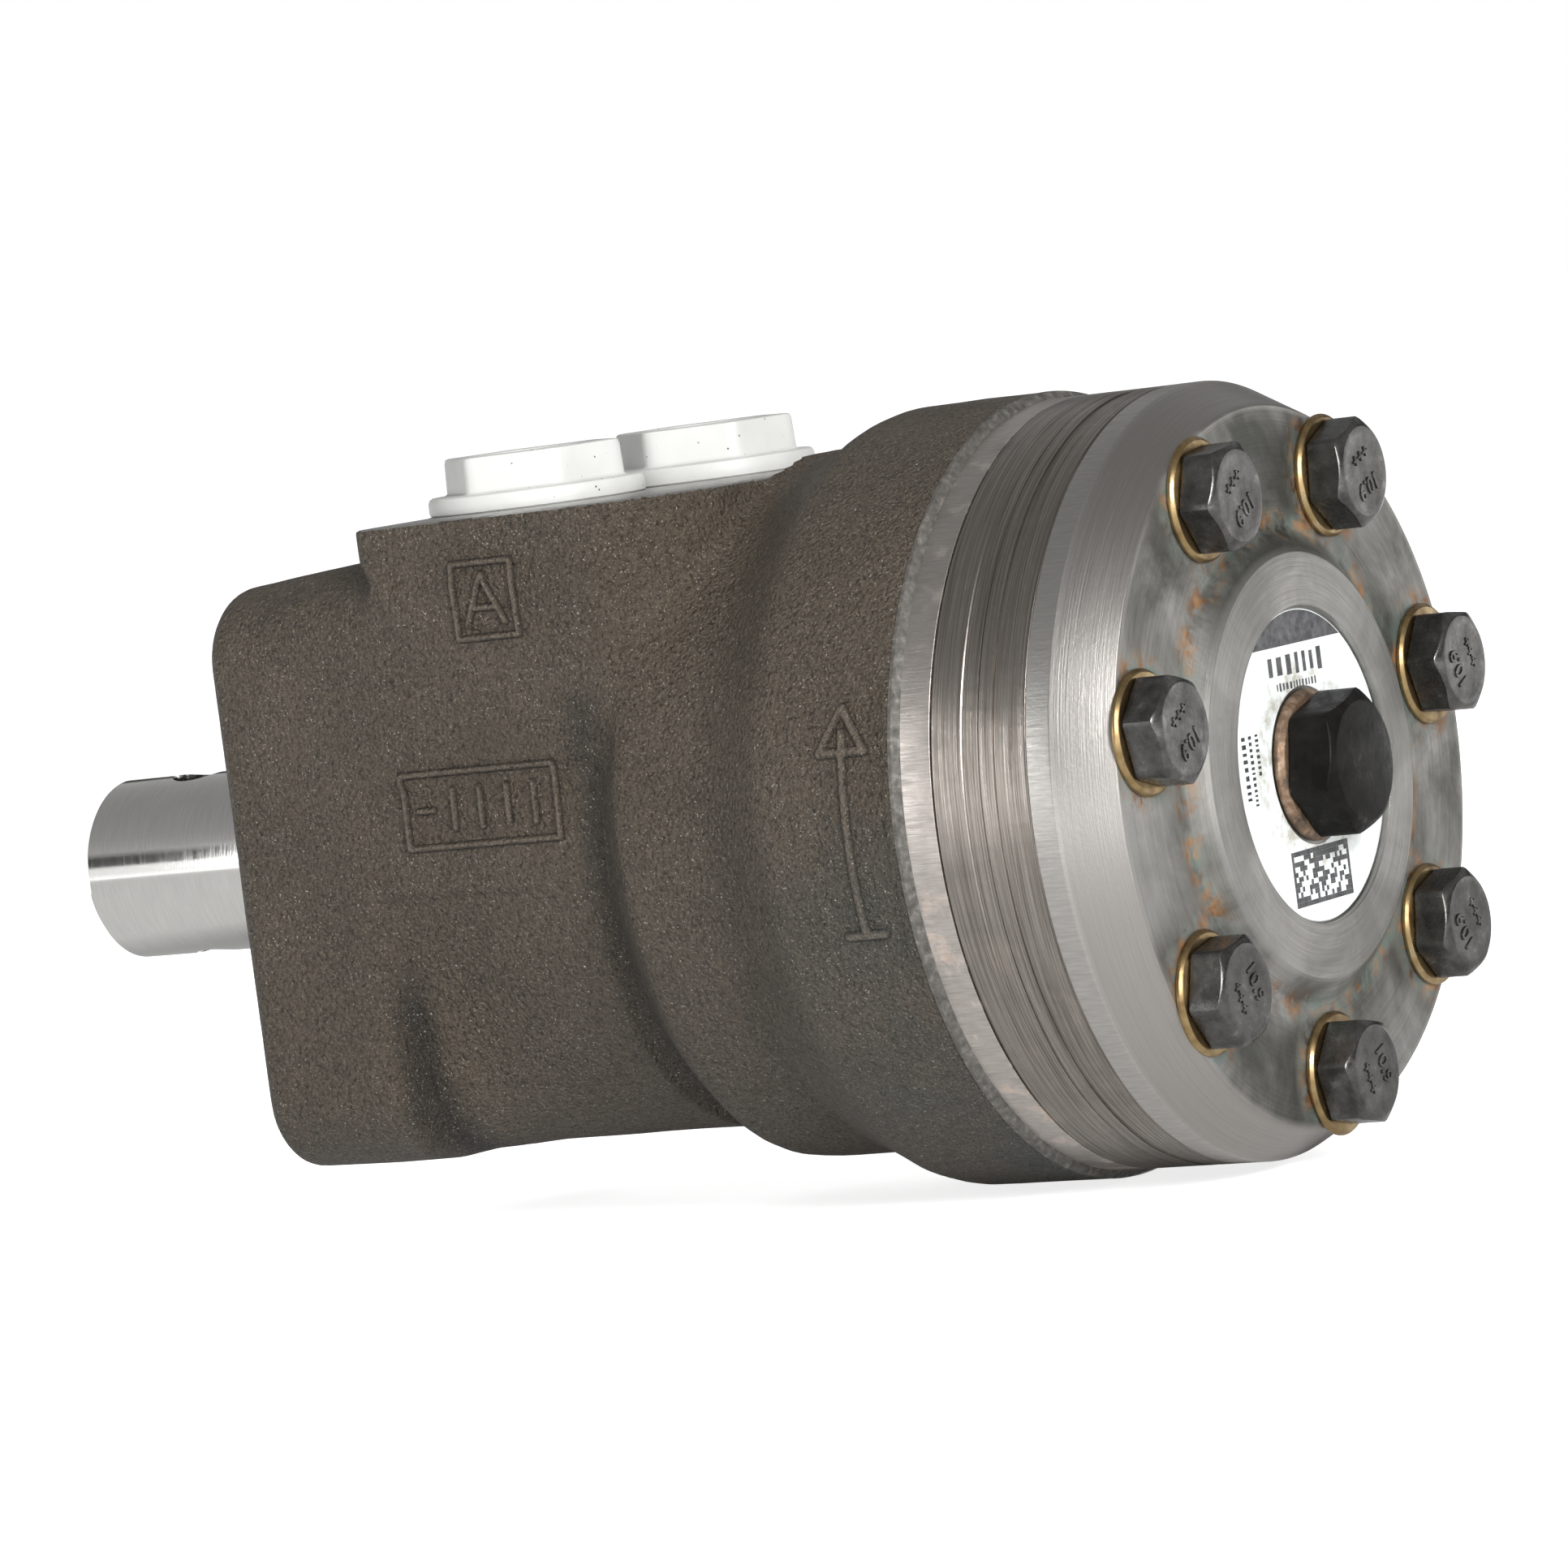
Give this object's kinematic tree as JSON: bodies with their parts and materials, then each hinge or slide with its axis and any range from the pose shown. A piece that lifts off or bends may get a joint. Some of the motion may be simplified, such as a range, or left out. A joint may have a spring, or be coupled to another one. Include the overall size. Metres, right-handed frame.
{
  "type": "hydraulic motor",
  "caption": "Orbital roller-gerotor hydraulic motor with a square flange, straight output shaft with a cross hole, plugged ports on top and a round bolted end cover.",
  "frame": {"origin": "on the output shaft's axis, in the plane of the square flange's mounting face", "axes": "+X along the output shaft, out of the motor; +Z towards the two ports; +Y completes a right-handed set, so port A is on the +Y side"},
  "size_m": [0.1981, 0.1045, 0.1052],
  "materials": {
    "cast_housing": "rough sand cast, bare and dark",
    "turned_steel": "turned and ground, light tarnish and rust",
    "polished_shaft": "ground and polished",
    "black_oxide": "black oxide",
    "yellow_washer": "satin",
    "drain_seal_washer": "dull, rusty",
    "hardened_steel": "ground, oiled",
    "rubber_black": "matt",
    "backup_plastic": "matt",
    "plug_plastic": "matt, dusty",
    "label_foil": "printed foil"
  },
  "bodies": {
    "housing_group": {"housing": "cast_housing", "spacer_plate": "turned_steel", "gear_ring": "turned_steel", "end_cover": "turned_steel", "cover_bolts": "black_oxide", "bolt_washers": "yellow_washer", "drain_plug": "black_oxide", "drain_plug_washer": "drain_seal_washer", "cover_label": "label_foil", "dust_seal": "rubber_black", "shaft_seal": "rubber_black", "seal_backup_ring": "backup_plastic", "thrust_washer_front": "hardened_steel", "check_retainer_a": "hardened_steel", "check_retainer_b": "hardened_steel", "port_plug_a": "plug_plastic", "port_plug_b": "plug_plastic", "port_seal_a": "rubber_black", "port_seal_b": "rubber_black", "housing_seal": "rubber_black", "plate_seal": "rubber_black", "cover_seal": "rubber_black"},
    "shaft": {"output_shaft": "polished_shaft", "thrust_washer_rear": "hardened_steel"},
    "orbit": {"drive_spacer": "hardened_steel"},
    "rotor": {"rotor": "hardened_steel"},
    "link": {"drive_link": "hardened_steel"},
    "thrust_rollers": {"thrust_cage": "hardened_steel", "thrust_needles": "hardened_steel"},
    "valve_ball_a": {"check_ball_a": "hardened_steel"},
    "valve_ball_b": {"check_ball_b": "hardened_steel"},
    "gear_roller_1": {"roller_1": "hardened_steel"},
    "gear_roller_2": {"roller_2": "hardened_steel"},
    "gear_roller_3": {"roller_3": "hardened_steel"},
    "gear_roller_4": {"roller_4": "hardened_steel"},
    "gear_roller_5": {"roller_5": "hardened_steel"},
    "gear_roller_6": {"roller_6": "hardened_steel"},
    "gear_roller_7": {"roller_7": "hardened_steel"}
  },
  "joints": [
    {"name": "shaft_spin", "type": "hinge", "parent": "housing_group", "child": "shaft", "pos_m": [0, 0, 0], "axis": [1, 0, 0], "continuous": true},
    {"name": "rotor_orbit", "type": "hinge", "parent": "housing_group", "child": "orbit", "pos_m": [-0.126, 0, 0], "axis": [1, 0, 0], "continuous": true},
    {"name": "rotor_spin", "type": "hinge", "parent": "orbit", "child": "rotor", "pos_m": [-0.126, 0, 0.0026], "axis": [1, 0, 0], "continuous": true},
    {"name": "link_spin", "type": "hinge", "parent": "orbit", "child": "link", "pos_m": [-0.0495, 0, 0], "axis": [0.9994, 0, -0.0344], "continuous": true},
    {"name": "thrust_cage_spin", "type": "hinge", "parent": "housing_group", "child": "thrust_rollers", "pos_m": [-0.0134, 0, 0], "axis": [1, 0, 0], "continuous": true},
    {"name": "roller_1_spin", "type": "hinge", "parent": "housing_group", "child": "gear_roller_1", "pos_m": [-0.126, 0, 0.032], "axis": [1, 0, 0], "continuous": true},
    {"name": "roller_2_spin", "type": "hinge", "parent": "housing_group", "child": "gear_roller_2", "pos_m": [-0.126, -0.02502, 0.01995], "axis": [1, 0, 0], "continuous": true},
    {"name": "roller_3_spin", "type": "hinge", "parent": "housing_group", "child": "gear_roller_3", "pos_m": [-0.126, -0.0312, -0.00712], "axis": [1, 0, 0], "continuous": true},
    {"name": "roller_4_spin", "type": "hinge", "parent": "housing_group", "child": "gear_roller_4", "pos_m": [-0.126, -0.01388, -0.02883], "axis": [1, 0, 0], "continuous": true},
    {"name": "roller_5_spin", "type": "hinge", "parent": "housing_group", "child": "gear_roller_5", "pos_m": [-0.126, 0.01388, -0.02883], "axis": [1, 0, 0], "continuous": true},
    {"name": "roller_6_spin", "type": "hinge", "parent": "housing_group", "child": "gear_roller_6", "pos_m": [-0.126, 0.0312, -0.00712], "axis": [1, 0, 0], "continuous": true},
    {"name": "roller_7_spin", "type": "hinge", "parent": "housing_group", "child": "gear_roller_7", "pos_m": [-0.126, 0.02502, 0.01995], "axis": [1, 0, 0], "continuous": true},
    {"name": "check_ball_a_lift", "type": "slide", "parent": "housing_group", "child": "valve_ball_a", "axis": [-1, 0, 0], "range_m": [0, 0.001]},
    {"name": "check_ball_b_lift", "type": "slide", "parent": "housing_group", "child": "valve_ball_b", "axis": [-1, 0, 0], "range_m": [0, 0.001]}
  ],
  "couplings": [
    {"joint": "rotor_orbit", "follows": "shaft_spin", "ratio": -6},
    {"joint": "rotor_spin", "follows": "shaft_spin", "ratio": 7},
    {"joint": "link_spin", "follows": "shaft_spin", "ratio": 7},
    {"joint": "thrust_cage_spin", "follows": "shaft_spin", "ratio": 0.5}
  ]
}
